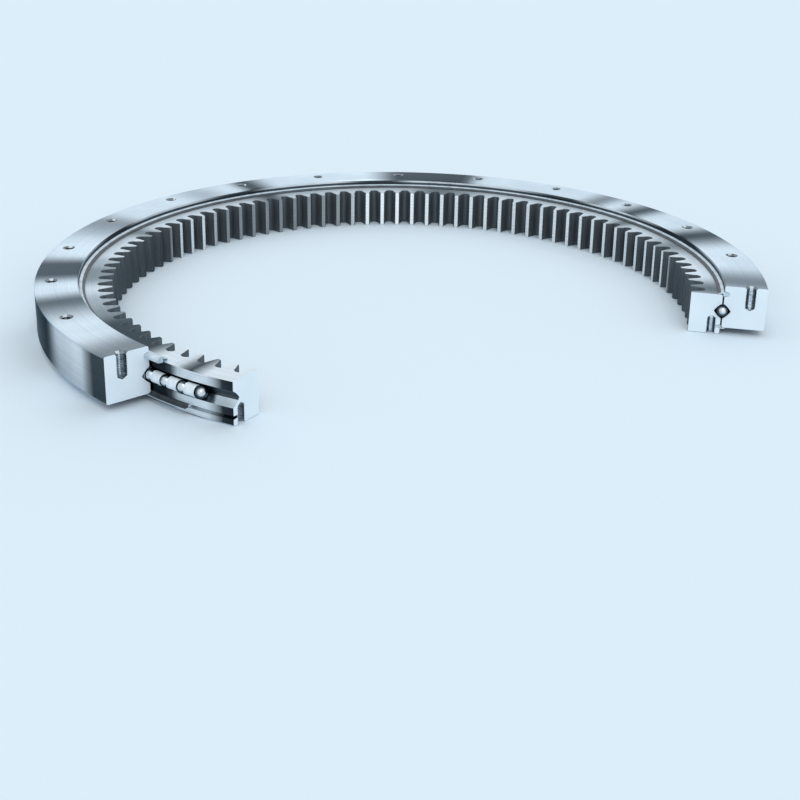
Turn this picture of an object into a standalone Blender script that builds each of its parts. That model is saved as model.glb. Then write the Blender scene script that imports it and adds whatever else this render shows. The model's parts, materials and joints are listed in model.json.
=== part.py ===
"""Sawn-open sample of a four-point-contact ball slewing ring with internal teeth.

The wide plain ring is bolted from above and the narrow toothed ring from below. One row of balls, kept
apart by cupped spacers, runs between them in pointed-arch raceways that are sealed above and below.
The front of the sample is sawn away, so the sections, the raceways and the end of the row lie open.

Lengths are in millimetres and angles in degrees; everything is made in metres, +Z up. Azimuths are
measured about the ring's axis, counted anticlockwise from +X. The toothed ring stands on Z = 0.
"""
import math

import bmesh
import bpy
from mathutils import Matrix, Vector

MM = 0.001

# Fit between solids that touch on the real product.
FIT_GAP = 0.3

# Ball row.
BALL_DIAMETER = 16.0
BALL_COUNT = 74
ROW_END_AZIMUTH = 239.6
SPACER_DIAMETER = 14.0
SPACER_RIM = 0.6
LEAD_PIECES = 1
TAIL_PIECES = 6

# Raceways: two arcs that meet in a point, and touch the ball on lines at 45 degrees.
ARCH_RADIUS = 30.0
ARCH_STEPS = 2
BALL_CLEARANCE = 0.5

# Rings. Their radii are built up from the gear: the wall over its roots, the gap, the wide ring's width.
# The wide ring stands the bottom step above the toothed ring's base and the top step above its top.
INNER_WALL = 22.0
RING_GAP = 2.0
OUTER_WIDTH = 54.0
OUTER_HEIGHT = 57.0
BOTTOM_STEP = 9.0
TOP_STEP = 12.0
RIM_CHAMFER = 2.0
BORE_CHAMFER = 1.5
INNER_CHAMFER = 1.5

# Internal teeth.
MODULE = 8.0
FULL_CIRCLE_TEETH = 98
PITCHES_LEFT = 70
PRESSURE_ANGLE = 20.0
ADDENDUM = 8.0
DEDENDUM = 10.0
ROOT_ARCH = 8.0
FLANK_CLEARANCE = 0.8
TOOTH_PHASE_ANGLE = 0.37

# Saw cuts. The right one is radial; the left ones pass through bolt hole axes, turned off the radius.
RIGHT_CUT_AZIMUTH = -11.71
OUTER_HOLES_LEFT = 14
INNER_HOLES_LEFT = 15
OUTER_CUT_ANGLE = 8.0
INNER_CUT_ANGLE = 10.0
HOLES_FULL_CIRCLE = 21

# Tapped holes: the wide ring's from above, set out from its bore, and the toothed ring's from below, set
# out from the tooth roots.
OUTER_HOLE_INSET = 33.0
OUTER_HOLE_DIAMETER = 12.0
OUTER_HOLE_DEPTH = 28.0
OUTER_SINK_DIAMETER = 16.5
INNER_HOLE_INSET = 10.5
INNER_HOLE_DIAMETER = 10.2
INNER_HOLE_DEPTH = 22.0
DRILL_POINT_ANGLE = 118.0
HOLE_SIDES = 12

# Seals.
UPPER_NOTCH_TOP = 7.0
UPPER_NOTCH_MOUTH = 8.0
UPPER_NOTCH_BOTTOM = 4.0
UPPER_NOTCH_DEPTH = 6.0
UPPER_LIP_REACH = 6.0
UPPER_LIP_THICKNESS = 1.2
UPPER_LIP_RISE = 3.2
UPPER_SEAL_OVERHANG_ANGLE = 3.6
LOWER_FLANGE = 8.0
LOWER_NOTCH_MOUTH = 4.5
LOWER_NOTCH_BOTTOM = 3.0
LOWER_NOTCH_DEPTH = 6.0
LOWER_LIP_REACH = 5.0
LOWER_LIP_THICKNESS = 1.6
LOWER_SEAL_END_AZIMUTH = 237.0

# Filling plug that the balls go in by, its taper pin, and the grease nipples, all on the far side.
PLUG_DIAMETER = 22.0
PLUG_AFTER_HOLE = 5
PIN_DIAMETER = 8.0
PIN_TAPER = 0.6
PIN_INSET = 33.0
NIPPLE_AFTER_HOLES = (2, 4, 7, 9)
NIPPLE_THREAD = 10.0
NIPPLE_THREAD_LENGTH = 11.0
NIPPLE_HEX = 12.0
NIPPLE_HEX_HEIGHT = 4.0
NIPPLE_HEAD = 6.4
GREASE_BORE = 4.0

# How far a cutter reaches past the face that it opens.
CUT_PAST = 1.0

# Facets.
SHARP_ANGLE = 35.0
SECTORS_PER_HOLE = 4
BALL_SEGMENTS = 12
BALL_RINGS = 8
SPACER_SEGMENTS = 12

# Sizes that follow from the ones above.
HOLE_STEP = 360.0 / HOLES_FULL_CIRCLE
TOOTH_STEP = 360.0 / FULL_CIRCLE_TEETH
SECTOR_STEP = HOLE_STEP / SECTORS_PER_HOLE
OUTER_CUT = RIGHT_CUT_AZIMUTH + OUTER_HOLES_LEFT * HOLE_STEP
INNER_CUT = RIGHT_CUT_AZIMUTH + INNER_HOLES_LEFT * HOLE_STEP
PITCH_RADIUS = MODULE * FULL_CIRCLE_TEETH / 2
TIP_RADIUS = PITCH_RADIUS - ADDENDUM
ROOT_RADIUS = PITCH_RADIUS + DEDENDUM
INNER_RADIUS = ROOT_RADIUS + INNER_WALL
ORBIT_RADIUS = INNER_RADIUS + RING_GAP / 2
BORE_RADIUS = INNER_RADIUS + RING_GAP
OUTER_RADIUS = BORE_RADIUS + OUTER_WIDTH
INNER_HOLE_RADIUS = ROOT_RADIUS + INNER_HOLE_INSET
OUTER_HOLE_RADIUS = BORE_RADIUS + OUTER_HOLE_INSET
PIN_RADIUS = BORE_RADIUS + PIN_INSET
OUTER_TOP = BOTTOM_STEP + OUTER_HEIGHT
INNER_HEIGHT = OUTER_TOP - TOP_STEP
ORBIT_HEIGHT = (BOTTOM_STEP + INNER_HEIGHT) / 2
BALL_RADIUS = BALL_DIAMETER / 2
CUP_RADIUS = BALL_RADIUS + FIT_GAP
BALL_STEP = (ROW_END_AZIMUTH - RIGHT_CUT_AZIMUTH) / (BALL_COUNT - 1)


def polar(radius, azimuth, height=0.0):
    """Point in metres at a radius, azimuth and height given in millimetres and degrees."""
    angle = math.radians(azimuth)
    return Vector((radius * math.cos(angle), radius * math.sin(angle), height)) * MM


def place(radius, azimuth, height=0.0, turn=0.0):
    """Frame at a point of the ring whose local X points outwards and local Y along the ring."""
    return Matrix.Translation(polar(radius, azimuth, height)) @ Matrix.Rotation(math.radians(azimuth - turn), 4, "Z")


def new_collection(name):
    collection = bpy.data.collections.new(name)
    bpy.context.scene.collection.children.link(collection)
    return collection


def material(name, colour, roughness, metallic):
    """Principled material from a linear colour."""
    mat = bpy.data.materials.new(name)
    mat.use_nodes = True
    shader = mat.node_tree.nodes["Principled BSDF"]
    shader.inputs["Base Color"].default_value = (*colour, 1.0)
    shader.inputs["Roughness"].default_value = roughness
    shader.inputs["Metallic"].default_value = metallic
    return mat


def shade(mesh):
    """Smooth across shallow edges, sharp at the others."""
    mesh.shade_smooth()
    mesh.set_sharp_from_angle(angle=math.radians(SHARP_ANGLE))


def as_mesh(name, bm):
    mesh = bpy.data.meshes.new(name)
    bm.to_mesh(mesh)
    bm.free()
    shade(mesh)
    return mesh


def add_part(name, mesh, finish, matrix=Matrix.Identity(4)):
    """Named piece, carried by the empty on the ring's axis."""
    if not mesh.materials:
        mesh.materials.append(material(name, *finish))
    piece = bpy.data.objects.new(name, mesh)
    piece.parent = axis
    piece.matrix_local = matrix
    parts.objects.link(piece)
    return piece


def add_cutter(name, bm):
    """Guide solid that is only used to cut."""
    cutter = bpy.data.objects.new(name, as_mesh(name, bm))
    cutter.parent = axis
    cutter.hide_render = True
    cutter.display_type = "WIRE"
    cutters.objects.link(cutter)
    return cutter


def boolean(piece, cutter, operation="DIFFERENCE"):
    step = piece.modifiers.new(cutter.name, "BOOLEAN")
    step.object = cutter
    step.operation = operation
    step.solver = "EXACT"


def apply_cuts(piece):
    """Makes the cut shape the piece's own mesh, so that its new edges are shaded sharp too."""
    graph = bpy.context.evaluated_depsgraph_get()
    mesh = bpy.data.meshes.new_from_object(piece.evaluated_get(graph))
    piece.modifiers.clear()
    piece.data = mesh
    shade(mesh)


def ring_sector(outline, start, end, step):
    """Closed outline of (radius, height) points, swept about Z. A last short step ends it at the azimuth."""
    bm = bmesh.new()
    bm.faces.new([bm.verts.new(polar(r, start, z)) for r, z in outline])
    whole = int((end - start) / step + 1e-6)
    rest = end - start - whole * step
    swept = bm.verts[:] + bm.edges[:] + bm.faces[:]
    for angle, steps in ((whole * step, whole), (rest, 1)):
        if angle > 1e-4:
            made = bmesh.ops.spin(bm, geom=swept, cent=(0, 0, 0), axis=(0, 0, 1), angle=math.radians(angle), steps=steps)
            swept = made["geom_last"]
    bmesh.ops.recalc_face_normals(bm, faces=bm.faces)
    return bm


def turned(outline, sides):
    """Solid turned about Z from (radius, height) points that begin and end on the axis."""
    bm = bmesh.new()
    corners = [bm.verts.new(Vector((r, 0, z)) * MM) for r, z in outline]
    edges = [bm.edges.new(pair) for pair in zip(corners, corners[1:])]
    bmesh.ops.spin(bm, geom=corners + edges, cent=(0, 0, 0), axis=(0, 0, 1), angle=math.tau, steps=sides)
    bmesh.ops.remove_doubles(bm, verts=bm.verts, dist=0.01 * MM)
    bmesh.ops.recalc_face_normals(bm, faces=bm.faces)
    bmesh.ops.rotate(bm, verts=bm.verts, matrix=Matrix.Rotation(math.pi / sides, 3, "Z"))
    return bm


def copies(bm, places):
    """The same solid at several places, as one bmesh."""
    pattern = bpy.data.meshes.new("pattern")
    bm.to_mesh(pattern)
    bm.clear()
    for matrix in places:
        first = len(bm.verts)
        bm.from_mesh(pattern)
        bm.verts.ensure_lookup_table()
        bmesh.ops.transform(bm, matrix=matrix, verts=bm.verts[first:])
    bpy.data.meshes.remove(pattern)
    return bm


def raceway(side):
    """Pointed-arch groove from its upper to its lower edge; side is 1 in the bore and -1 on the toothed ring."""
    offset = (ARCH_RADIUS - BALL_RADIUS - BALL_CLEARANCE) * math.sqrt(0.5)
    face = RING_GAP / 2
    edge = math.asin((face + offset) / ARCH_RADIUS)
    apex = math.acos(offset / ARCH_RADIUS)
    turns = [edge + (apex - edge) * k / ARCH_STEPS for k in range(ARCH_STEPS + 1)]
    upper = [(ARCH_RADIUS * math.sin(t) - offset, ARCH_RADIUS * math.cos(t) - offset) for t in turns]
    lower = [(x, -z) for x, z in reversed(upper[:-1])]
    return [(ORBIT_RADIUS + side * x, ORBIT_HEIGHT + z) for x, z in upper + lower]


def outer_ring_outline():
    """Section of the wide ring, down its bore and back up its rim."""
    notch_top = OUTER_TOP - UPPER_NOTCH_TOP
    slope = (UPPER_NOTCH_MOUTH - UPPER_NOTCH_BOTTOM) / 2
    bore = [
        (BORE_RADIUS + BORE_CHAMFER, OUTER_TOP),
        (BORE_RADIUS, OUTER_TOP - BORE_CHAMFER),
        (BORE_RADIUS, notch_top),
        (BORE_RADIUS + UPPER_NOTCH_DEPTH, notch_top - slope),
        (BORE_RADIUS + UPPER_NOTCH_DEPTH, notch_top - slope - UPPER_NOTCH_BOTTOM),
        (BORE_RADIUS, notch_top - UPPER_NOTCH_MOUTH),
        *raceway(1),
        (BORE_RADIUS, BOTTOM_STEP + BORE_CHAMFER),
        (BORE_RADIUS + BORE_CHAMFER, BOTTOM_STEP),
    ]
    rim = [
        (OUTER_RADIUS - RIM_CHAMFER, BOTTOM_STEP),
        (OUTER_RADIUS, BOTTOM_STEP + RIM_CHAMFER),
        (OUTER_RADIUS, OUTER_TOP - RIM_CHAMFER),
        (OUTER_RADIUS - RIM_CHAMFER, OUTER_TOP),
    ]
    return bore + rim


def inner_ring_outline():
    """Section of the toothed ring's blank, down its outside and back up inside at the tooth tips."""
    slope = (LOWER_NOTCH_MOUTH - LOWER_NOTCH_BOTTOM) / 2
    return [
        (INNER_RADIUS - INNER_CHAMFER, INNER_HEIGHT),
        (INNER_RADIUS, INNER_HEIGHT - INNER_CHAMFER),
        *raceway(-1),
        (INNER_RADIUS, LOWER_FLANGE + LOWER_NOTCH_MOUTH),
        (INNER_RADIUS - LOWER_NOTCH_DEPTH, LOWER_FLANGE + LOWER_NOTCH_MOUTH - slope),
        (INNER_RADIUS - LOWER_NOTCH_DEPTH, LOWER_FLANGE + slope),
        (INNER_RADIUS, LOWER_FLANGE),
        (INNER_RADIUS, INNER_CHAMFER),
        (INNER_RADIUS - INNER_CHAMFER, 0.0),
        (TIP_RADIUS, 0.0),
        (TIP_RADIUS, INNER_HEIGHT),
    ]


def upper_seal_outline():
    """Rubber strip pressed into the bore's notch, with a lip on the toothed ring's top edge."""
    notch_top = OUTER_TOP - UPPER_NOTCH_TOP
    slope = (UPPER_NOTCH_MOUTH - UPPER_NOTCH_BOTTOM) / 2
    root = BORE_RADIUS + UPPER_NOTCH_DEPTH - FIT_GAP
    tip = INNER_RADIUS - UPPER_LIP_REACH
    lip = INNER_HEIGHT + FIT_GAP
    return [
        (root, notch_top - slope - FIT_GAP),
        (BORE_RADIUS - FIT_GAP, notch_top - 2 * FIT_GAP),
        (INNER_RADIUS - UPPER_LIP_REACH / 3, lip + UPPER_LIP_RISE),
        (tip, lip + UPPER_LIP_THICKNESS),
        (tip, lip),
        (INNER_RADIUS + 2 * FIT_GAP, lip),
        (INNER_RADIUS + 2 * FIT_GAP, notch_top - UPPER_NOTCH_MOUTH + 2 * FIT_GAP),
        (root, notch_top - slope - UPPER_NOTCH_BOTTOM + FIT_GAP),
    ]


def lower_seal_outline():
    """Rubber strip pressed into the toothed ring's low groove, with a lip under the wide ring's edge."""
    slope = (LOWER_NOTCH_MOUTH - LOWER_NOTCH_BOTTOM) / 2
    root = INNER_RADIUS - LOWER_NOTCH_DEPTH + FIT_GAP
    web = BORE_RADIUS - 3 * FIT_GAP
    lip = BOTTOM_STEP - FIT_GAP
    return [
        (root, LOWER_FLANGE + LOWER_NOTCH_MOUTH - slope - FIT_GAP),
        (root, LOWER_FLANGE + slope + FIT_GAP),
        (INNER_RADIUS + FIT_GAP, LOWER_FLANGE + FIT_GAP),
        (INNER_RADIUS + FIT_GAP, lip - LOWER_LIP_THICKNESS),
        (BORE_RADIUS + LOWER_LIP_REACH, lip - LOWER_LIP_THICKNESS / 2),
        (BORE_RADIUS + LOWER_LIP_REACH, lip),
        (web, lip),
        (web, LOWER_FLANGE + LOWER_NOTCH_MOUTH - 2 * FIT_GAP),
    ]


def involute(angle):
    return math.tan(angle) - angle


def space_half_width(radius):
    """Half the width of a tooth space along the circle of this radius: the involute, with room beside it."""
    base = PITCH_RADIUS * math.cos(math.radians(PRESSURE_ANGLE))
    at_pitch = math.pi / (2 * FULL_CIRCLE_TEETH) + involute(math.radians(PRESSURE_ANGLE))
    return radius * (at_pitch - involute(math.acos(base / radius))) + FLANK_CLEARANCE


def tooth_space_outline():
    """Outline of one space, along X from inside the tips to the arched root."""
    arch_start = ROOT_RADIUS - ROOT_ARCH
    middle = (TIP_RADIUS + arch_start) / 2
    flank = [(TIP_RADIUS - ADDENDUM / 2, space_half_width(TIP_RADIUS) * 1.1)]
    flank += [(radius, space_half_width(radius)) for radius in (TIP_RADIUS, middle, arch_start)]
    width = space_half_width(arch_start)
    for turn in (math.radians(30), math.radians(60)):
        flank.append((arch_start + ROOT_ARCH * math.sin(turn), width * math.cos(turn)))
    mirrored = [(x, -y) for x, y in reversed(flank)]
    return flank + [(ROOT_RADIUS, 0.0)] + mirrored


def tooth_spaces():
    """Shaper cut: one prism for each space between the saw cuts."""
    bm = bmesh.new()
    face = bm.faces.new([bm.verts.new(Vector((x, y, -MODULE)) * MM) for x, y in tooth_space_outline()])
    made = bmesh.ops.extrude_face_region(bm, geom=[face])
    top = [item for item in made["geom"] if isinstance(item, bmesh.types.BMVert)]
    bmesh.ops.translate(bm, verts=top, vec=Vector((0, 0, INNER_HEIGHT + 2 * MODULE)) * MM)
    bmesh.ops.recalc_face_normals(bm, faces=bm.faces)
    first = RIGHT_CUT_AZIMUTH + TOOTH_PHASE_ANGLE + TOOTH_STEP / 2
    turns = [Matrix.Rotation(math.radians(first + TOOTH_STEP * k), 4, "Z") for k in range(PITCHES_LEFT)]
    return copies(bm, turns)


def drilled_hole(diameter, depth, mouth):
    """Hole downwards from Z = 0: its mouth, a straight wall and the drill's point."""
    wall = diameter / 2
    point = wall / math.tan(math.radians(DRILL_POINT_ANGLE / 2))
    return mouth + [(wall, -depth), (0, -depth - point)]


def plain_mouth(diameter):
    return [(0, CUT_PAST), (diameter / 2, CUT_PAST)]


def countersink(diameter, sink):
    wall = diameter / 2
    rim = sink / 2
    return [(0, CUT_PAST), (rim + CUT_PAST, CUT_PAST), (wall, wall - rim)]


def saw(hole_radius, azimuth, turn):
    """Everything past a saw cut that passes through a bolt hole's axis."""
    reach = 2 * (OUTER_RADIUS - TIP_RADIUS)
    bm = bmesh.new()
    bmesh.ops.create_cube(bm, size=1)
    bmesh.ops.scale(bm, verts=bm.verts, vec=Vector((reach, reach, 3 * OUTER_TOP)) * MM)
    bmesh.ops.translate(bm, verts=bm.verts, vec=Vector((0, reach / 2, 0)) * MM)
    bmesh.ops.transform(bm, verts=bm.verts, matrix=place(hole_radius, azimuth, 0, turn))
    return bm


def radial_tool(azimuth):
    """Frame at the ball row's height whose local Z points outwards along the radius."""
    return place(0, azimuth, ORBIT_HEIGHT) @ Matrix.Rotation(math.radians(90), 4, "Y")


def plug_azimuth():
    return RIGHT_CUT_AZIMUTH + (PLUG_AFTER_HOLE + 0.5) * HOLE_STEP


def nipple_azimuth(hole):
    return RIGHT_CUT_AZIMUTH + (hole + 0.5) * HOLE_STEP


def rod(radius, start, end):
    """Outline of a plain rod between two heights."""
    return [(0, end), (radius, end), (radius, start), (0, start)]


def make_outer_ring():
    blank = ring_sector(outer_ring_outline(), RIGHT_CUT_AZIMUTH, OUTER_CUT + SECTOR_STEP, SECTOR_STEP)
    ring = add_part("outer_ring", as_mesh("outer_ring", blank), STEEL)

    mouth = countersink(OUTER_HOLE_DIAMETER, OUTER_SINK_DIAMETER)
    hole = turned(drilled_hole(OUTER_HOLE_DIAMETER, OUTER_HOLE_DEPTH, mouth), HOLE_SIDES)
    azimuths = [RIGHT_CUT_AZIMUTH + HOLE_STEP * k for k in range(OUTER_HOLES_LEFT + 1)]
    places = [place(OUTER_HOLE_RADIUS, azimuth, OUTER_TOP) for azimuth in azimuths]
    boolean(ring, add_cutter("outer_bolt_holes", copies(hole, places)))

    filling = turned(rod(PLUG_DIAMETER / 2, ORBIT_RADIUS, OUTER_RADIUS + RIM_CHAMFER), HOLE_SIDES)
    filling.transform(radial_tool(plug_azimuth()))
    boolean(ring, add_cutter("filling_hole", filling))

    pin_top = ORBIT_HEIGHT + PLUG_DIAMETER / 2
    pin_hole = turned(rod(PIN_DIAMETER / 2, BOTTOM_STEP - CUT_PAST, pin_top), HOLE_SIDES)
    pin_hole.transform(place(PIN_RADIUS, plug_azimuth()))
    pin_hole_cutter = add_cutter("pin_hole", pin_hole)
    boolean(ring, pin_hole_cutter)

    seat = OUTER_RADIUS - NIPPLE_THREAD_LENGTH - FIT_GAP
    wall = NIPPLE_THREAD / 2
    past = OUTER_RADIUS + CUT_PAST
    bore = GREASE_BORE / 2
    grease = [(0, past), (wall, past), (wall, seat), (bore, seat), (bore, ORBIT_RADIUS), (0, ORBIT_RADIUS)]
    drilled = copies(turned(grease, HOLE_SIDES), [radial_tool(nipple_azimuth(hole)) for hole in NIPPLE_AFTER_HOLES])
    boolean(ring, add_cutter("grease_holes", drilled))
    boolean(ring, add_cutter("outer_saw_cut", saw(OUTER_HOLE_RADIUS, OUTER_CUT, OUTER_CUT_ANGLE)))
    apply_cuts(ring)
    return pin_hole_cutter


def make_filling_plug(pin_hole_cutter):
    """Plug that carries its own piece of the rim and of the raceway, with the taper pin through it."""
    around = plug_azimuth()
    first = RIGHT_CUT_AZIMUTH + SECTOR_STEP * int((around - RIGHT_CUT_AZIMUTH) / SECTOR_STEP - 1)
    piece = ring_sector(outer_ring_outline(), first, first + 3 * SECTOR_STEP, SECTOR_STEP)
    plug = add_part("filling_plug", as_mesh("filling_plug", piece), STEEL)
    body = turned(rod(PLUG_DIAMETER / 2 - FIT_GAP, ORBIT_RADIUS, OUTER_RADIUS - 2 * FIT_GAP), HOLE_SIDES)
    body.transform(radial_tool(around))
    boolean(plug, add_cutter("plug_body", body), "INTERSECT")
    boolean(plug, pin_hole_cutter)
    apply_cuts(plug)

    wide = PIN_DIAMETER / 2 - FIT_GAP
    narrow = wide - PIN_TAPER / 2
    top = ORBIT_HEIGHT + PLUG_DIAMETER / 2 - FIT_GAP
    low = BOTTOM_STEP + FIT_GAP
    pin = turned([(0, top), (narrow, top), (wide, low), (0, low)], HOLE_SIDES)
    add_part("taper_pin", as_mesh("taper_pin", pin), PIN_STEEL, place(PIN_RADIUS, around))


def make_grease_nipples():
    """Hydraulic nipple: threaded shank, hexagon, neck and round head, one solid along its own Z."""
    shank = NIPPLE_THREAD / 2 - FIT_GAP
    top = FIT_GAP + NIPPLE_HEX_HEIGHT
    head = NIPPLE_HEAD / 2
    outline = [(0, top + 2 * head), (head / 2, top + 2 * head), (head, top + 1.2 * head), (head * 0.7, top + head / 2),
               (head, top), (NIPPLE_HEX / 2, top), (NIPPLE_HEX / 2, FIT_GAP), (shank, FIT_GAP),
               (shank, -NIPPLE_THREAD_LENGTH), (0, -NIPPLE_THREAD_LENGTH)]
    mesh = as_mesh("grease_nipple", turned(outline, 6))
    for number, hole in enumerate(NIPPLE_AFTER_HOLES, 1):
        azimuth = nipple_azimuth(hole)
        seat = place(OUTER_RADIUS, azimuth, ORBIT_HEIGHT) @ Matrix.Rotation(math.radians(90), 4, "Y")
        add_part(f"grease_nipple_{number}", mesh, BRIGHT_STEEL, seat)


def make_inner_ring():
    blank = ring_sector(inner_ring_outline(), RIGHT_CUT_AZIMUTH, INNER_CUT + TOOTH_STEP, TOOTH_STEP)
    ring = add_part("inner_ring", as_mesh("inner_ring", blank), STEEL)
    boolean(ring, add_cutter("tooth_spaces", tooth_spaces()))

    mouth = plain_mouth(INNER_HOLE_DIAMETER)
    hole = turned(drilled_hole(INNER_HOLE_DIAMETER, INNER_HOLE_DEPTH, mouth), HOLE_SIDES)
    upside_down = Matrix.Rotation(math.pi, 4, "X")
    azimuths = [RIGHT_CUT_AZIMUTH + HOLE_STEP * k for k in range(INNER_HOLES_LEFT + 1)]
    places = [place(INNER_HOLE_RADIUS, azimuth) @ upside_down for azimuth in azimuths]
    boolean(ring, add_cutter("inner_bolt_holes", copies(hole, places)))
    boolean(ring, add_cutter("inner_saw_cut", saw(INNER_HOLE_RADIUS, INNER_CUT, INNER_CUT_ANGLE)))
    apply_cuts(ring)


def make_seals():
    upper = ring_sector(upper_seal_outline(), RIGHT_CUT_AZIMUTH, OUTER_CUT + UPPER_SEAL_OVERHANG_ANGLE, SECTOR_STEP)
    add_part("upper_seal", as_mesh("upper_seal", upper), RUBBER)
    lower = ring_sector(lower_seal_outline(), RIGHT_CUT_AZIMUTH, LOWER_SEAL_END_AZIMUTH, TOOTH_STEP)
    add_part("lower_seal", as_mesh("lower_seal", lower), RUBBER)


def spacer_half_length():
    """The cup's rim lies on the ball, so the spacer's length follows from the ball step and its diameter."""
    spacing = 2 * ORBIT_RADIUS * math.sin(math.radians(BALL_STEP / 2))
    rim = SPACER_DIAMETER / 2 - SPACER_RIM
    return spacing / 2 - math.sqrt(CUP_RADIUS ** 2 - rim ** 2)


def spacer_mesh():
    """Cylinder with a round cup in each end for the balls beside it, along its own Z."""
    half = spacer_half_length()
    rim = SPACER_DIAMETER / 2 - SPACER_RIM
    floor = half + math.sqrt(CUP_RADIUS ** 2 - rim ** 2) - CUP_RADIUS
    middle = rim * 0.6
    ledge = half + math.sqrt(CUP_RADIUS ** 2 - rim ** 2) - math.sqrt(CUP_RADIUS ** 2 - middle ** 2)
    end = [(0, floor), (middle, ledge), (rim, half), (SPACER_DIAMETER / 2, half)]
    outline = end + [(r, -z) for r, z in reversed(end)]
    return as_mesh("spacer", turned(outline, SPACER_SEGMENTS))


def ball_mesh():
    bm = bmesh.new()
    bmesh.ops.create_uvsphere(bm, u_segments=BALL_SEGMENTS, v_segments=BALL_RINGS, radius=BALL_RADIUS * MM)
    return as_mesh("ball", bm)


def make_hidden_row(first, last):
    """Balls and spacers that the closed part of the rings hides, as one string of beads."""
    spacing = math.radians(BALL_STEP) * ORBIT_RADIUS
    rim = spacing / 2 - spacer_half_length()
    slim = SPACER_DIAMETER / 2
    shoulder = BALL_RADIUS * 0.7
    beads = [(first * spacing - BALL_RADIUS, BALL_RADIUS * 0.15), (first * spacing - shoulder, shoulder)]
    for number in range(first, last + 1):
        beads += [(number * spacing, BALL_RADIUS)]
        if number < last:
            beads += [(number * spacing + rim, slim), ((number + 1) * spacing - rim, slim)]
    beads += [(last * spacing + shoulder, shoulder), (last * spacing + BALL_RADIUS, BALL_RADIUS * 0.15)]

    curve = bpy.data.curves.new("ball_row_hidden", "CURVE")
    curve.dimensions = "3D"
    curve.bevel_depth = MM
    curve.bevel_resolution = 0
    curve.use_fill_caps = True
    curve.twist_mode = "Z_UP"
    string = curve.splines.new("POLY")
    string.points.add(len(beads) - 1)
    for point, (along, radius) in zip(string.points, beads):
        azimuth = RIGHT_CUT_AZIMUTH + math.degrees(along / ORBIT_RADIUS)
        point.co = (*polar(ORBIT_RADIUS, azimuth, ORBIT_HEIGHT), 1.0)
        point.radius = radius
    curve.materials.append(material("ball_row_hidden", *BEARING_STEEL))
    row = bpy.data.objects.new("ball_row_hidden", curve)
    row.parent = axis
    parts.objects.link(row)


def make_ball_row():
    ball = ball_mesh()
    spacer = spacer_mesh()
    tail = BALL_COUNT - TAIL_PIECES
    for number in [*range(LEAD_PIECES), *range(tail, BALL_COUNT)]:
        azimuth = RIGHT_CUT_AZIMUTH + BALL_STEP * number
        add_part(f"ball_{number + 1:02d}", ball, BEARING_STEEL, place(ORBIT_RADIUS, azimuth, ORBIT_HEIGHT))
    lying = Matrix.Rotation(math.radians(90), 4, "X")
    chord = ORBIT_RADIUS * math.cos(math.radians(BALL_STEP / 2))
    for number in [*range(LEAD_PIECES), *range(tail - 1, BALL_COUNT - 1)]:
        azimuth = RIGHT_CUT_AZIMUTH + BALL_STEP * (number + 0.5)
        add_part(f"spacer_{number + 1:02d}", spacer, POLYAMIDE, place(chord, azimuth, ORBIT_HEIGHT) @ lying)
    make_hidden_row(LEAD_PIECES, tail - 1)


def centre_on_origin():
    """Moves the ring's axis along Y until the whole sample is centred on the origin."""
    bpy.context.view_layer.update()
    graph = bpy.context.evaluated_depsgraph_get()
    depth = []
    for name in ("outer_ring", "inner_ring"):
        ring = bpy.data.objects[name].evaluated_get(graph)
        depth += [(ring.matrix_world @ Vector(corner)).y for corner in ring.bound_box]
    axis.location.y = -(min(depth) + max(depth)) / 2


STEEL = ((0.62, 0.68, 0.72), 0.32, 1.0)
BRIGHT_STEEL = ((0.70, 0.72, 0.74), 0.25, 1.0)
PIN_STEEL = ((0.45, 0.47, 0.50), 0.40, 1.0)
BEARING_STEEL = ((0.75, 0.77, 0.80), 0.10, 1.0)
RUBBER = ((0.55, 0.62, 0.67), 0.55, 0.0)
POLYAMIDE = ((0.70, 0.74, 0.76), 0.50, 0.0)

for old in list(bpy.data.objects):
    bpy.data.objects.remove(old)

parts = new_collection("slewing_ring_bearing")
cutters = new_collection("cutters")
axis = bpy.data.objects.new("ring_axis", None)
axis.empty_display_size = OUTER_RADIUS * MM / 4
parts.objects.link(axis)

make_inner_ring()
make_filling_plug(make_outer_ring())
make_grease_nipples()
make_seals()
make_ball_row()
centre_on_origin()
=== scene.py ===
# %% [markdown]
# # A slewing ring, sawn open
# The real thing is a large ball bearing with teeth on the inside of its lower ring. It carries a crane
# or a digger's cab, and this one has its front sawn away to show how it works. The solids are already
# made and packed, so this lesson only dresses them: finer meshes in the same places, and finishes.

import json
import math
import random

import bmesh
import bpy
from mathutils import Matrix, Vector


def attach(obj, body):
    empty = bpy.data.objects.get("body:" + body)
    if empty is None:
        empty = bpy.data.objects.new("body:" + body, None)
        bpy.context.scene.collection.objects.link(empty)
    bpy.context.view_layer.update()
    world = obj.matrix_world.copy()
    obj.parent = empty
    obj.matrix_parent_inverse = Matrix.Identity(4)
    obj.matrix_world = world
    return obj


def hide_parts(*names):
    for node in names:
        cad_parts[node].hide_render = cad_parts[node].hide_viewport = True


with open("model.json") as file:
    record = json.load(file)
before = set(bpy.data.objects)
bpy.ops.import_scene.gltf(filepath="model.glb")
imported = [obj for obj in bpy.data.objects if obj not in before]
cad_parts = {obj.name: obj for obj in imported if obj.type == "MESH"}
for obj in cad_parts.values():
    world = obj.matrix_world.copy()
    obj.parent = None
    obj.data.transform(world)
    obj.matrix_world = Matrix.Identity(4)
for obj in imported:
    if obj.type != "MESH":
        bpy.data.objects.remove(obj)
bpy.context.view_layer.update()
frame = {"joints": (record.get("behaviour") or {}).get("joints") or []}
AXIS = Vector((0, frame["joints"][0]["pos_m"][1], 0))

# %% [markdown]
# ## The camera
# The picture was taken from a little above the ring with a fairly long lens. The numbers come from
# lining up the bolt holes and the rims of both rings, so the camera is placed by them and not by eye.
# The shift moves the picture's middle without turning the lens, as a view camera does.

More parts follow.
